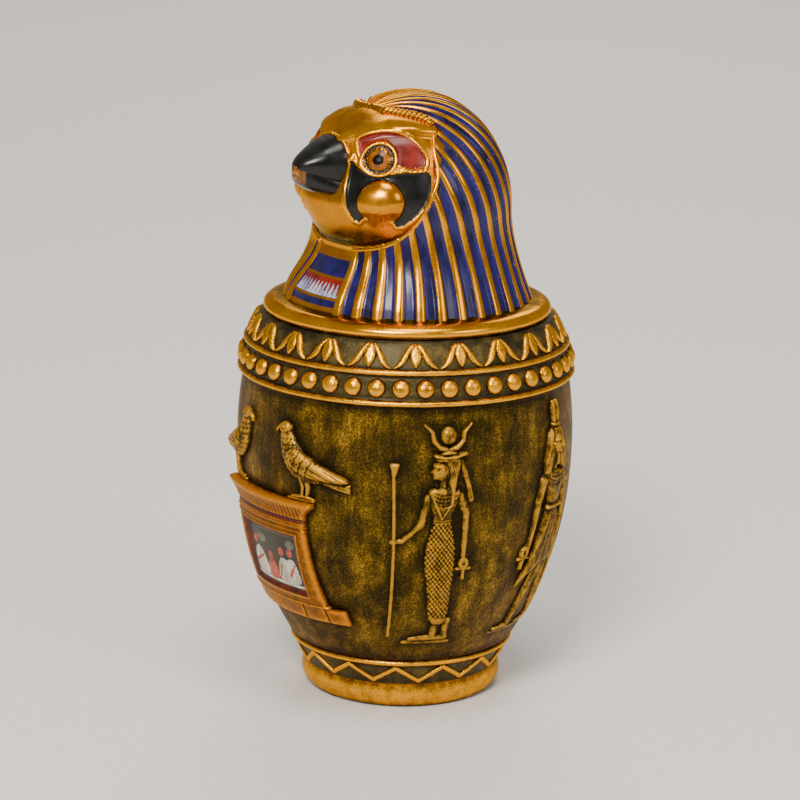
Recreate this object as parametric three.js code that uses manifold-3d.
// A modern cast-resin copy of a canopic jar: a hollow jar and its lift-off lid with a falcon's head.
// Millimetres, +Z up. The front, where the shrine and the beak are, faces -Y. The origin is at the
// middle of the underside. Angles on the jar are in degrees from the front, positive towards +X.
import * as THREE from "three";
import { mergeVertices } from "three/addons/utils/BufferGeometryUtils.js";
import Module from "manifold-3d";

// The jar's bands, from the foot up, and its radii.
const FOOT_HEIGHT = 8.2;
const ZIGZAG_BAND = 6.4;
const LINE_HEIGHT = 1.9;
const FIELD_HEIGHT = 84.1;
const STUD_BAND = 7.0;
const LOTUS_BAND = 7.5;
const FOOT_RADIUS = 31.2;
const FIELD_BASE_RADIUS = 34.6;
const BELLY_RADIUS = 52.0;
const SHOULDER_RADIUS = 50.2;
const RIM_RADIUS = 44.9;
const BELLY_SHARE = 0.755;
const COLLAR_LIFT = 0.7;
const LINE_LIFT = 1.2;

// The hollow, and how the lid's plug sits in the mouth.
const WALL = 5.0;
const FLOOR = 6.0;
const MOUTH_RADIUS = 35.0;
const NECK_DEPTH = 6.5;
const PLUG_DEPTH = 5.0;
const PLUG_CLEARANCE = 0.6;

// The carving on the jar.
const ROUND_SIDES = 44;
const HOLLOW_SIDES = 26;
const STUDS = 44;
const STUD_RADIUS = 2.9;
const STUD_LIFT = 1.7;
const FLOWERS = 22;
const FLOWER_LIFT = 1.0;
const ZIGZAGS = 14;
const ZIGZAG_WIDTH = 1.5;
const ZIGZAG_LIFT = 0.7;
const RELIEF_ROOT = 1.2;
const LONGEST_STEP = 22.0;
const FIGURE_LIFT = 1.4;
const FIGURE_HEIGHT = 71.0;
const GROUND_LINE = 8.0;
const GODDESS_ANGLE = 67.0;
const GOD_ANGLE = 114.0;
const SHRINE_HEIGHT = 40.0;
const SHRINE_WIDTH = 43.0;
const SHRINE_LIFT = 2.2;
const SHRINE_FOOT = 12.5;
const SHRINE_BLOCKS = 6;
const BIRD_LENGTH = 30.0;
const BIRD_LIFT = 2.2;

// The lid.
const RING_HEIGHT = 7.4;
const RING_RADIUS = 44.3;
const HEAD_HEIGHT = 60.7;
const HOOD_RADIUS = 37.5;
const STRIPE_PITCH = 10.0;
const STRIPE_DEPTH = 1.1;
const HOOD_ROWS = 7;
const PANEL_HALF_ANGLE = 18.0;
const FACE_SIDES = 18;

const DEG = Math.PI / 180;
const FIELD_BASE = FOOT_HEIGHT + ZIGZAG_BAND + LINE_HEIGHT;
const FIELD_TOP = FIELD_BASE + FIELD_HEIGHT;
const BELLY = FIELD_BASE + FIELD_HEIGHT * BELLY_SHARE;
const STUDS_BASE = FIELD_TOP + LINE_HEIGHT;
const LOTUS_BASE = STUDS_BASE + STUD_BAND + LINE_HEIGHT;
const JAR_HEIGHT = LOTUS_BASE + LOTUS_BAND;
const RING_TOP = JAR_HEIGHT + RING_HEIGHT;
const COLLAR_RADIUS = SHOULDER_RADIUS + COLLAR_LIFT;

const wasm = await Module();
wasm.setup();

// Solids

// A closed mesh, from its corners and triangles, with its faces turned outwards.
function closedGeometry(positions, triangles) {
  const geometry = new THREE.BufferGeometry();
  geometry.setAttribute("position", new THREE.Float32BufferAttribute(positions, 3));
  geometry.setIndex(triangles);
  return geometry;
}

function toSolid(geometry) {
  const bare = geometry.clone();
  bare.deleteAttribute("normal");
  bare.deleteAttribute("uv");
  const merged = mergeVertices(bare, 1e-4);
  const corners = merged.attributes.position.array;
  const made = (order) => {
    const triVerts = Uint32Array.from(order);
    return new wasm.Manifold(new wasm.Mesh({ numProp: 3, vertProperties: corners, triVerts }));
  };
  const order = Array.from(merged.index.array);
  const solid = made(order);
  return solid.volume() > 0 ? solid : made(order.reverse());
}

function toGeometry(solid) {
  const mesh = solid.getMesh();
  const geometry = closedGeometry(mesh.vertProperties, Array.from(mesh.triVerts));
  const faceted = geometry.toNonIndexed();
  faceted.computeVertexNormals();
  return faceted;
}

function join(solids) {
  return solids.reduce((whole, solid) => whole.add(solid));
}

// The largest body of a solid, without the offcuts that a cut leaves or the pockets that crossing
// forms enclose.
function mainBody(solid) {
  const bodies = solid.decompose();
  return bodies.reduce((best, body) => (body.volume() > best.volume() ? body : best));
}

// A solid of revolution about Z. The profile's points are [radius, height].
function turned(profile, sides) {
  const points = profile.map(([radius, height]) => new THREE.Vector2(radius, height));
  return toSolid(new THREE.LatheGeometry(points, sides).rotateX(Math.PI / 2));
}

// The triangles of the walls between rings of equally many points. A loop's last ring meets its first.
function walls(rings, around, loop) {
  const triangles = [];
  const spans = loop ? rings : rings - 1;
  for (let ring = 0; ring < spans; ring += 1) {
    const next = ((ring + 1) % rings) * around;
    for (let i = 0; i < around; i += 1) {
      const a = ring * around + i;
      const b = ring * around + ((i + 1) % around);
      const c = next + ((i + 1) % around);
      const d = next + i;
      triangles.push(a, b, c, a, c, d);
    }
  }
  return triangles;
}

function flatCap(first, around, turned) {
  const triangles = [];
  for (let i = 1; i + 1 < around; i += 1) {
    if (turned) triangles.push(first, first + i + 1, first + i);
    else triangles.push(first, first + i, first + i + 1);
  }
  return triangles;
}

function numbers(points) {
  return points.flatMap((point) => [point.x, point.y, point.z]);
}

// A solid through rings, with a flat cap at each end, or closed on itself as a loop.
function lofted(rings, loop = false) {
  const around = rings[0].length;
  const last = (rings.length - 1) * around;
  const caps = loop ? [] : [...flatCap(0, around, true), ...flatCap(last, around, false)];
  const triangles = [...walls(rings.length, around, loop), ...caps];
  return toSolid(closedGeometry(numbers(rings.flat()), triangles));
}

// A solid through rings that runs out to a point beyond the last, and before the first too where a
// start is given.
function pointed(rings, end, start = null) {
  const around = rings[0].length;
  const last = (rings.length - 1) * around;
  const tip = rings.length * around;
  const triangles = walls(rings.length, around, false);
  for (let i = 0; i < around; i += 1) {
    triangles.push(last + i, last + ((i + 1) % around), tip);
    if (start) triangles.push((i + 1) % around, i, tip + 1);
  }
  if (!start) triangles.push(...flatCap(0, around, true));
  const corners = [...rings.flat(), end, ...(start ? [start] : [])];
  return toSolid(closedGeometry(numbers(corners), triangles));
}

// The jar's outer surface

// The ground of each band, without its lines and carving.
function jarRadius(z) {
  if (z < FIELD_BASE) {
    const share = Math.max(0, (z - FOOT_HEIGHT) / (FIELD_BASE - FOOT_HEIGHT));
    return FOOT_RADIUS - 0.6 + (FIELD_BASE_RADIUS - FOOT_RADIUS) * share;
  }
  if (z < BELLY) {
    const share = (BELLY - z) / (BELLY - FIELD_BASE);
    return BELLY_RADIUS - (BELLY_RADIUS - FIELD_BASE_RADIUS) * share ** 2.25;
  }
  if (z < FIELD_TOP) {
    const share = (z - BELLY) / (FIELD_TOP - BELLY);
    return BELLY_RADIUS - (BELLY_RADIUS - SHOULDER_RADIUS) * share ** 2;
  }
  const share = Math.min(1, (z - FIELD_TOP) / (JAR_HEIGHT - FIELD_TOP));
  return COLLAR_RADIUS - (COLLAR_RADIUS - RIM_RADIUS) * share ** 1.9;
}

// A place on the jar: how far across from an angle and how high, in millimetres, and how far proud.
function onJar(angle, across, z, lift) {
  const radius = jarRadius(z);
  const turn = angle * DEG + across / radius;
  return new THREE.Vector3(Math.sin(turn), -Math.cos(turn), 0)
    .multiplyScalar(radius + lift)
    .setZ(z);
}

// A raised line runs round the jar over the height given, with its two edges eased.
function lineProfile(base) {
  const ease = LINE_HEIGHT * 0.22;
  const low = jarRadius(base) + LINE_LIFT;
  const high = jarRadius(base + LINE_HEIGHT) + LINE_LIFT;
  return [[low, base + ease], [high, base + LINE_HEIGHT - ease]];
}

function groundProfile(from, to, steps) {
  const points = [];
  for (let i = 0; i <= steps; i += 1) {
    const z = from + ((to - from) * i) / steps;
    points.push([jarRadius(z), z]);
  }
  return points;
}

function footProfile() {
  return [
    [0, 0],
    [FOOT_RADIUS * 0.94, 0],
    [FOOT_RADIUS, FOOT_HEIGHT * 0.35],
    [FOOT_RADIUS * 0.99, FOOT_HEIGHT * 0.88],
  ];
}

// The hollow follows the outside at the wall's thickness and draws in to the mouth.
function hollow() {
  const lip = JAR_HEIGHT - NECK_DEPTH;
  const under = lip - WALL * 0.6;
  const steps = 4;
  const points = [[0, FLOOR]];
  for (let i = 0; i <= steps; i += 1) {
    const z = FLOOR + ((under - FLOOR) * i) / steps;
    points.push([jarRadius(z) - WALL, z]);
  }
  points.push([MOUTH_RADIUS, lip], [MOUTH_RADIUS, JAR_HEIGHT + WALL], [0, JAR_HEIGHT + WALL]);
  return turned(points, HOLLOW_SIDES);
}

function jarBody() {
  return turned([
    ...footProfile(),
    ...groundProfile(FOOT_HEIGHT, FIELD_BASE - LINE_HEIGHT, 1),
    ...lineProfile(FIELD_BASE - LINE_HEIGHT),
    ...groundProfile(FIELD_BASE, FIELD_TOP, 6),
    ...lineProfile(FIELD_TOP),
    ...groundProfile(STUDS_BASE, STUDS_BASE + STUD_BAND, 1),
    ...lineProfile(STUDS_BASE + STUD_BAND),
    ...groundProfile(LOTUS_BASE, JAR_HEIGHT, 1),
    [0, JAR_HEIGHT],
  ], ROUND_SIDES).subtract(hollow());
}

// Carving that wraps the jar

// The sections of raised work, as [share of the half width, is it proud].
const FLAT_TOPPED = [[-1, false], [-0.7, true], [0.7, true], [1, false]];
const CRESTED = [[-1, false], [0, true], [1, false]];

// A path with stations added along its long stretches, so that it bends with the jar.
function stepped(stations) {
  const path = [stations[0]];
  for (let i = 1; i < stations.length; i += 1) {
    const from = stations[i - 1];
    const to = stations[i];
    const steps = Math.ceil(Math.hypot(to[0] - from[0], to[1] - from[1]) / LONGEST_STEP);
    for (let step = 1; step <= steps; step += 1) {
      path.push(from.map((value, k) => value + ((to[k] - value) * step) / steps));
    }
  }
  return path;
}

// The section of raised work at one station of its path, between the stations before and after it.
function sectionAt(angle, base, before, station, after, lift, section) {
  const [across, up, half] = station;
  const run = new THREE.Vector2(after[0] - before[0], after[1] - before[1]).normalize();
  return section.map(([share, proud]) => {
    const reach = half * share;
    return onJar(angle, across + run.y * reach, base + up - run.x * reach, proud ? lift : -RELIEF_ROOT);
  });
}

// Raised work along a path. A station is [across, up, half width], from the angle and height given.
function swept(angle, base, route, lift, section) {
  const path = stepped(route);
  return lofted(path.map((station, i) => {
    const before = path[Math.max(0, i - 1)];
    const after = path[Math.min(path.length - 1, i + 1)];
    return sectionAt(angle, base, before, station, after, lift, section);
  }));
}

function bar(angle, base, stations, lift) {
  return swept(angle, base, stations, lift, FLAT_TOPPED);
}

function ridge(angle, base, stations, lift) {
  return swept(angle, base, stations, lift, CRESTED);
}

// A raised leaf: a sharp crest over its widest place, which runs out to a point at both ends.
function leaf(angle, base, [start, widest, end], lift) {
  const tip = ([across, up]) => onJar(angle, across, base + up, -RELIEF_ROOT / 2);
  const [across, up, half] = widest;
  const ring = [
    onJar(angle, across - half, base + up, -RELIEF_ROOT),
    onJar(angle, across, base + up, lift),
    onJar(angle, across + half, base + up, -RELIEF_ROOT),
  ];
  return pointed([ring], tip(end), tip(start));
}

// A low round or oval boss. Its sides run on under the ground, so they start wider there.
function boss(angle, across, z, halfWidth, halfHeight, lift, sides) {
  const ring = (share, height) => Array.from({ length: sides }, (_, i) => {
    const turn = (2 * Math.PI * i) / sides;
    const right = across + halfWidth * share * Math.cos(turn);
    return onJar(angle, right, z + halfHeight * share * Math.sin(turn), height);
  });
  const spread = 1 + RELIEF_ROOT / lift;
  return pointed([ring(spread, -RELIEF_ROOT)], onJar(angle, across, z, lift));
}

// A raised sheet that bends with the jar, between two heights and two half widths.
function sheet(angle, across, lowZ, highZ, lowHalf, highHalf, lowLift, highLift, columns) {
  const ring = (z, half, lift) => {
    const top = [];
    const root = [];
    for (let i = 0; i <= columns; i += 1) {
      const place = across + half * ((2 * i) / columns - 1);
      top.push(onJar(angle, place, z, lift));
      root.unshift(onJar(angle, place, z, -RELIEF_ROOT));
    }
    return [...top, ...root];
  };
  return lofted([ring(lowZ, lowHalf, lowLift), ring(highZ, highHalf, highLift)]);
}

function studBand() {
  const z = STUDS_BASE + STUD_BAND / 2;
  return Array.from({ length: STUDS }, (_, i) =>
    boss((360 * (i + 0.5)) / STUDS, 0, z, STUD_RADIUS, STUD_RADIUS, STUD_LIFT, 6));
}

// A hanging flower: a middle petal and two that curl outwards, all pointing down.
function flower(angle) {
  const tall = LOTUS_BAND * 0.84;
  const wide = (2 * Math.PI * RIM_RADIUS) / FLOWERS;
  const middle = [[0, 1.05], [0, 0.62, 0.17], [0, -0.02]];
  const side = [[0.1, 1.0], [0.2, 0.5, 0.11], [0.47, 0.0]];
  const sized = (stations, mirror) => stations.map(([across, up, half = 0]) =>
    [mirror * across * wide, up * tall, half * wide]);
  const base = LOTUS_BASE + (LOTUS_BAND - tall) * 0.4;
  return [
    leaf(angle, base, sized(middle, 1), FLOWER_LIFT),
    leaf(angle, base, sized(side, 1), FLOWER_LIFT * 0.7),
    leaf(angle, base, sized(side, -1), FLOWER_LIFT * 0.7),
  ];
}

function lotusBand() {
  return Array.from({ length: FLOWERS }, (_, i) => flower((360 * (i + 0.25)) / FLOWERS)).flat();
}

// One zigzag ridge all the way round the band over the foot.
function zigzagBand() {
  const low = FOOT_HEIGHT + ZIGZAG_WIDTH * 0.7;
  const high = FIELD_BASE - LINE_HEIGHT - ZIGZAG_WIDTH * 0.7;
  const turns = 2 * ZIGZAGS;
  const level = [[-1, 0], [1, 0]];
  const rings = Array.from({ length: turns }, (_, i) => {
    const station = [0, i % 2 === 0 ? low : high, ZIGZAG_WIDTH / 2];
    return sectionAt((360 * i) / turns, 0, level[0], station, level[1], ZIGZAG_LIFT, CRESTED);
  });
  return [lofted(rings, true)];
}

// The figures. Their measures are shares of a figure's height, up from the ground line, and mirror
// turns a figure to face the other way.

function figureTools(angle, mirror) {
  const base = FIELD_BASE + GROUND_LINE;
  const size = FIGURE_HEIGHT;
  const sized = (stations) => stations.map(([across, up, half]) =>
    [across * mirror * size, up * size, half * size]);
  return {
    trunk: (stations, lift = FIGURE_LIFT) => bar(angle, base, sized(stations), lift),
    limb: (stations, lift = FIGURE_LIFT) => ridge(angle, base, sized(stations), lift),
    round: (across, up, wide, tall, lift = FIGURE_LIFT) =>
      boss(angle, across * mirror * size, base + up * size, wide * size, tall * size, lift, 6),
  };
}

// The feet, and the arm that hangs with a looped cross in its hand.
function stance({ limb }) {
  return [
    limb([[-0.11, 0.02, 0.014], [0.07, 0.02, 0.022]]),
    limb([[0.07, 0.69, 0.02], [0.112, 0.54, 0.016], [0.103, 0.33, 0.016]]),
  ];
}

// The bent arm and the tall staff that it holds.
function armWithStaff({ limb }) {
  return [
    limb([[-0.07, 0.69, 0.017], [-0.085, 0.55, 0.015], [-0.2, 0.475, 0.012]]),
    limb([[-0.205, 0.82, 0.026], [-0.202, 0.76, 0.009], [-0.185, 0.01, 0.009]], FIGURE_LIFT * 0.8),
  ];
}

function bodyInSheath({ trunk }) {
  return [
    trunk([[0.0, 0.72, 0.07], [0.004, 0.58, 0.042], [-0.002, 0.42, 0.062], [0.01, 0.05, 0.04]]),
  ];
}

function headWithWig({ limb, round }) {
  return [
    round(-0.005, 0.81, 0.042, 0.055),
    limb([[0.0, 0.9, 0.04], [0.03, 0.8, 0.035], [0.045, 0.66, 0.022]], FIGURE_LIFT * 1.1),
  ];
}

function goddess(angle, mirror) {
  const tools = figureTools(angle, mirror);
  const { limb, round } = tools;
  return [
    ...stance(tools),
    ...armWithStaff(tools),
    ...bodyInSheath(tools),
    ...headWithWig(tools),
    round(0.02, 0.965, 0.036, 0.036),
    limb([[-0.085, 1.0, 0.008], [-0.05, 0.93, 0.016], [0.09, 0.93, 0.016], [0.125, 1.0, 0.008]]),
  ];
}

// A god in a pleated skirt, with two tall plumes.
function god(angle, mirror) {
  const tools = figureTools(angle, mirror);
  const { limb, trunk } = tools;
  return [
    ...stance(tools),
    ...armWithStaff(tools),
    ...headWithWig(tools),
    trunk([[0.0, 0.72, 0.075], [0.0, 0.53, 0.045], [-0.01, 0.28, 0.075]]),
    limb([[-0.035, 0.3, 0.03], [-0.045, 0.04, 0.018]]),
    limb([[0.03, 0.3, 0.03], [0.035, 0.04, 0.018]]),
    limb([[0.006, 0.89, 0.03], [0.006, 1.02, 0.035]]),
  ];
}

// The shrine on the front: a plinth of blocks, a wall that leans in round a framed picture, and a
// cornice that flares.
function shrine() {
  const foot = FIELD_BASE + SHRINE_FOOT;
  const up = (share) => foot + SHRINE_HEIGHT * share;
  const half = (share) => (SHRINE_WIDTH / 2) * share;
  const wall = (share) => half(0.86 - 0.13 * share);
  const part = (across, low, high, lowHalf, highHalf, lowLift, highLift, columns) =>
    sheet(0, across, up(low), up(high), lowHalf, highHalf, lowLift, highLift, columns);
  const sill = 0.22;
  const lintel = 0.66;
  const eaves = 0.84;
  const opening = half(0.56);
  const jambFoot = 0.13;
  const jambHead = 0.79;
  const jambs = [-1, 1].map((side) => {
    const station = (share) => {
      const middle = (wall(share) + opening) / 2;
      return [side * middle, SHRINE_HEIGHT * share, (wall(share) - opening) / 2];
    };
    return bar(0, foot, [station(jambFoot), station(jambHead)], SHRINE_LIFT * 0.8);
  });
  const pitch = (SHRINE_WIDTH * 0.98) / SHRINE_BLOCKS;
  const blocks = Array.from({ length: SHRINE_BLOCKS }, (_, i) => {
    const place = (i - (SHRINE_BLOCKS - 1) / 2) * pitch;
    return part(place, 0, 0.12, pitch * 0.46, pitch * 0.46, SHRINE_LIFT, SHRINE_LIFT, 1);
  });
  return [
    ...blocks,
    ...jambs,
    part(0, 0.05, sill, wall(0.05), wall(sill), SHRINE_LIFT * 0.65, SHRINE_LIFT * 0.65, 4),
    part(0, lintel, eaves + 0.03, wall(lintel), wall(eaves), SHRINE_LIFT * 0.65, SHRINE_LIFT * 0.65, 4),
    part(0, eaves, 1, half(0.79), half(0.93), SHRINE_LIFT * 0.9, SHRINE_LIFT * 1.7, 5),
  ];
}

// A falcon that stands on the cornice, looking at its pair across the middle.
function bird(mirror) {
  const base = FIELD_BASE + SHRINE_FOOT + SHRINE_HEIGHT;
  const size = BIRD_LENGTH;
  const sized = (stations) => stations.map(([across, up, half]) =>
    [across * mirror * size, up * size, half * size]);
  const limb = (stations, lift) => bar(0, base, sized(stations), lift);
  return [
    limb([[0.3, 0.75, 0.05], [0.36, 0.5, 0.12], [0.5, 0.28, 0.15], [0.85, 0.08, 0.07],
      [1.03, 0.0, 0.05]], BIRD_LIFT),
    limb([[0.34, 0.72, 0.05], [0.18, 0.64, 0.02]], BIRD_LIFT * 0.6),
    limb([[0.5, 0.25, 0.03], [0.5, 0.0, 0.03]], BIRD_LIFT * 0.6),
  ];
}

function jar() {
  return mainBody(join([
    jarBody(),
    ...studBand(),
    ...lotusBand(),
    ...zigzagBand(),
    ...shrine(),
    ...bird(1),
    ...bird(-1),
    ...goddess(GODDESS_ANGLE, 1),
    ...goddess(-GODDESS_ANGLE, -1),
    ...god(GOD_ANGLE, 1),
    ...god(-GOD_ANGLE, -1),
  ]));
}

// The lid. Places on the head are shares: sideways and forward of the hood's radius, up of the
// head's height.

function onHead(side, forward, up) {
  return new THREE.Vector3(side * HOOD_RADIUS, -forward * HOOD_RADIUS, RING_TOP + up * HEAD_HEIGHT);
}

// The gold ring round the head's foot, and under it the plug that sits in the jar's mouth.
function ringAndPlug() {
  const radius = MOUTH_RADIUS - PLUG_CLEARANCE;
  const low = JAR_HEIGHT - PLUG_DEPTH;
  const high = JAR_HEIGHT + RING_HEIGHT / 2;
  const plug = turned([[0, low], [radius, low], [radius, high], [0, high]], HOLLOW_SIDES);
  const bulge = RING_RADIUS - HOOD_RADIUS;
  const ring = turned([
    [0, JAR_HEIGHT],
    [RING_RADIUS - bulge * 0.2, JAR_HEIGHT],
    [RING_RADIUS, JAR_HEIGHT + RING_HEIGHT * 0.3],
    [RING_RADIUS - bulge * 0.2, JAR_HEIGHT + RING_HEIGHT * 0.65],
    [HOOD_RADIUS, RING_TOP],
    [0, RING_TOP],
  ], ROUND_SIDES);
  return plug.add(ring);
}

// The hood's radius at a share of its height: a flared skirt below, a dome above.
const SKIRT_SHARE = 0.395;
const DOME_SHARE = 0.84;

function hoodRadius(up) {
  if (up < SKIRT_SHARE) {
    return DOME_SHARE + (1 - DOME_SHARE) * (1 - up / SKIRT_SHARE) ** 1.6;
  }
  const rise = Math.min(1, (up - SKIRT_SHARE) / (1 - SKIRT_SHARE));
  return DOME_SHARE * Math.sqrt(1 - rise ** 2.1);
}

// Where a direction from the middle of the hood's foot leaves the dome, found by halving.
function hoodReach(out, rise) {
  let near = 0;
  let far = 2;
  for (let i = 0; i < 40; i += 1) {
    const reach = (near + far) / 2;
    const inside = reach * rise < 1 && reach * out < hoodRadius(reach * rise);
    if (inside) near = reach;
    else far = reach;
  }
  return near;
}

// The stripes run from the foot to the peak over the brow, so the meridians' pole leans forward.
const PEAK_LEAN = 0.5;

function onHood(angle, share, depth) {
  const climb = (share * Math.PI) / 2;
  const direction = new THREE.Vector3(
    Math.cos(climb) * Math.sin(angle * DEG),
    Math.cos(climb) * Math.cos(angle * DEG) + PEAK_LEAN * Math.sin(climb) ** 2,
    Math.sin(climb),
  );
  const out = Math.hypot(direction.x, direction.y);
  const reach = hoodReach(out, direction.z);
  const side = direction.x * reach;
  const forward = direction.y * reach;
  const inset = 1 - depth / HOOD_RADIUS;
  return onHead(side * inset, forward * inset, direction.z * reach * (share > 0 ? inset : 1));
}

// Gold ribs stand at every pitch with a hollow stripe between them, except over the front panel.
function hood() {
  const columns = Math.round(720 / STRIPE_PITCH);
  const rings = [];
  for (let row = 0; row < HOOD_ROWS; row += 1) {
    const share = row / HOOD_ROWS;
    const ring = [];
    for (let i = 0; i < columns; i += 1) {
      const angle = (i * 360) / columns - 180;
      const rib = i % 2 === 0 && Math.abs(angle) > PANEL_HALF_ANGLE;
      ring.push(onHood(angle, share, rib ? 0 : STRIPE_DEPTH));
    }
    rings.push(ring);
  }
  const sunk = rings[0].map((point) => point.clone().setZ(RING_TOP - 1));
  return pointed([sunk, ...rings], onHood(0, 1, 0));
}

// What is cut from the hood's front for the face, seen from the side: [forward, up].
function faceOpening() {
  const outline = [
    [0.42, 0.925], [0.18, 0.885], [0.23, 0.76], [0.26, 0.63], [0.36, 0.5],
    [0.49, 0.37], [0.64, 0.295], [0.83, 0.25], [1.5, 0.25], [1.5, 1.2], [0.42, 1.2],
  ];
  const wide = 1.2;
  const side = (x) => outline.map(([forward, up]) => onHead(x, forward, up));
  const flat = outline.map(([forward, up]) => new THREE.Vector2(forward, up));
  const faces = THREE.ShapeUtils.triangulateShape(flat, []);
  const count = outline.length;
  const positions = [...side(-wide), ...side(wide)].flatMap((point) => [point.x, point.y, point.z]);
  const triangles = faces.flatMap(([a, b, c]) => [a, c, b, a + count, b + count, c + count]);
  for (let i = 0; i < count; i += 1) {
    const next = (i + 1) % count;
    triangles.push(i, next, next + count, i, next + count, i + count);
  }
  return toSolid(closedGeometry(positions, triangles));
}

// The face below the hood's edge, as level rings: [up, half width, front, back].
function face() {
  const levels = [
    [0.12, 0.62, 0.76, -0.5], [0.33, 0.7, 0.82, -0.5], [0.48, 0.72, 0.92, -0.5],
    [0.58, 0.71, 0.88, -0.48], [0.7, 0.67, 0.82, -0.45], [0.8, 0.58, 0.75, -0.4],
    [0.88, 0.45, 0.62, -0.25],
  ];
  const rings = levels.map(([up, half, front, back]) => Array.from({ length: FACE_SIDES }, (_, i) => {
    const turn = (2 * Math.PI * i) / FACE_SIDES;
    const middle = (front + back) / 2;
    const forward = middle + ((front - back) / 2) * Math.cos(turn);
    return onHead(half * Math.sin(turn), forward, up);
  }));
  return pointed(rings, onHead(0, 0.3, 0.95));
}

// A round or oval form whose rings are square to a path in the plane of symmetry.
function beak() {
  const sides = 10;
  // [forward, up, half width, half height]
  const stations = [
    [0.7, 0.68, 0.23, 0.15], [0.86, 0.67, 0.21, 0.14], [0.98, 0.655, 0.16, 0.115],
    [1.07, 0.635, 0.1, 0.075], [1.115, 0.6, 0.05, 0.035],
  ];
  const rings = stations.map(([forward, up, half, tall]) => Array.from({ length: sides }, (_, i) => {
    const turn = (2 * Math.PI * i) / sides;
    return onHead(half * Math.sin(turn), forward, up + tall * Math.cos(turn));
  }));
  return pointed(rings, onHead(0, 1.115, 0.555));
}

// A dome set on the face at a place, looking outwards, as wide, tall and proud as given in shares.
function faceBoss(side, forward, up, wide, tall, lift, sides) {
  const centre = onHead(side, forward, up);
  const out = new THREE.Vector3(centre.x, centre.y + HOOD_RADIUS * 0.2, 0).normalize();
  const across = new THREE.Vector3(-out.y, out.x, 0);
  const ring = (share, height) => Array.from({ length: sides }, (_, i) => {
    const turn = (2 * Math.PI * i) / sides;
    return centre.clone()
      .addScaledVector(across, wide * HOOD_RADIUS * share * Math.cos(turn))
      .addScaledVector(out, height * HOOD_RADIUS)
      .add(new THREE.Vector3(0, 0, tall * HOOD_RADIUS * share * Math.sin(turn)));
  });
  return lofted([ring(1, -0.12), ring(0.65, lift)]);
}

// The brow: a thick ridge from over the beak to the hood's corner.
function brow(side) {
  const path = new THREE.CatmullRomCurve3([
    onHead(side * 0.14, 0.71, 0.81),
    onHead(side * 0.3, 0.66, 0.835),
    onHead(side * 0.4, 0.5, 0.855),
    onHead(side * 0.44, 0.16, 0.855),
  ]);
  const section = new THREE.Shape();
  section.absellipse(0, 0, HOOD_RADIUS * 0.05, HOOD_RADIUS * 0.07, 0, 2 * Math.PI);
  const steps = { steps: 4, curveSegments: 3, bevelEnabled: false, extrudePath: path };
  return toSolid(new THREE.ExtrudeGeometry(section, steps));
}

function eyeAndCheek(side) {
  return [
    faceBoss(side * 0.42, 0.665, 0.725, 0.135, 0.12, 0.03, 10),
    faceBoss(side * 0.43, 0.675, 0.73, 0.065, 0.065, 0.07, 6),
    faceBoss(side * 0.455, 0.63, 0.52, 0.2, 0.2, 0.08, 10),
  ];
}

// The bars that frame the collar's painted bands, on the panel between the hood's lappets.
function collarBar(up) {
  const half = HEAD_HEIGHT * 0.011;
  const ring = (angle) => [[-half, STRIPE_DEPTH * 2], [half, STRIPE_DEPTH * 2], [half, 0], [-half, 0]]
    .map(([rise, depth]) => {
      const radius = hoodRadius(up) * HOOD_RADIUS - depth;
      const turn = angle * DEG;
      const z = RING_TOP + up * HEAD_HEIGHT + rise;
      return new THREE.Vector3(radius * Math.sin(turn), -radius * Math.cos(turn), z);
    });
  const angles = [-1, -0.5, 0, 0.5, 1].map((share) => share * (PANEL_HALF_ANGLE + 1));
  return lofted(angles.map(ring));
}

function lid() {
  const bars = [0.03, 0.08, 0.145, 0.2].map(collarBar);
  const sides = [-1, 1].flatMap((side) => [brow(side), ...eyeAndCheek(side)]);
  const cowl = mainBody(hood().subtract(faceOpening()));
  return mainBody(join([ringAndPlug(), cowl, face(), beak(), ...bars, ...sides]));
}

// The finished meshes

const agedGold = new THREE.MeshStandardMaterial({ color: 0x8a6a24, roughness: 0.5, metalness: 0.5 });
const gold = new THREE.MeshStandardMaterial({ color: 0xd8962a, roughness: 0.3, metalness: 0.7 });

function named(name, solid, material) {
  const mesh = new THREE.Mesh(toGeometry(solid), material);
  mesh.name = name;
  return mesh;
}

const canopicJar = new THREE.Group();
canopicJar.add(named("jar", jar(), agedGold));
canopicJar.add(named("falcon_head_lid", lid(), gold));

export default canopicJar;
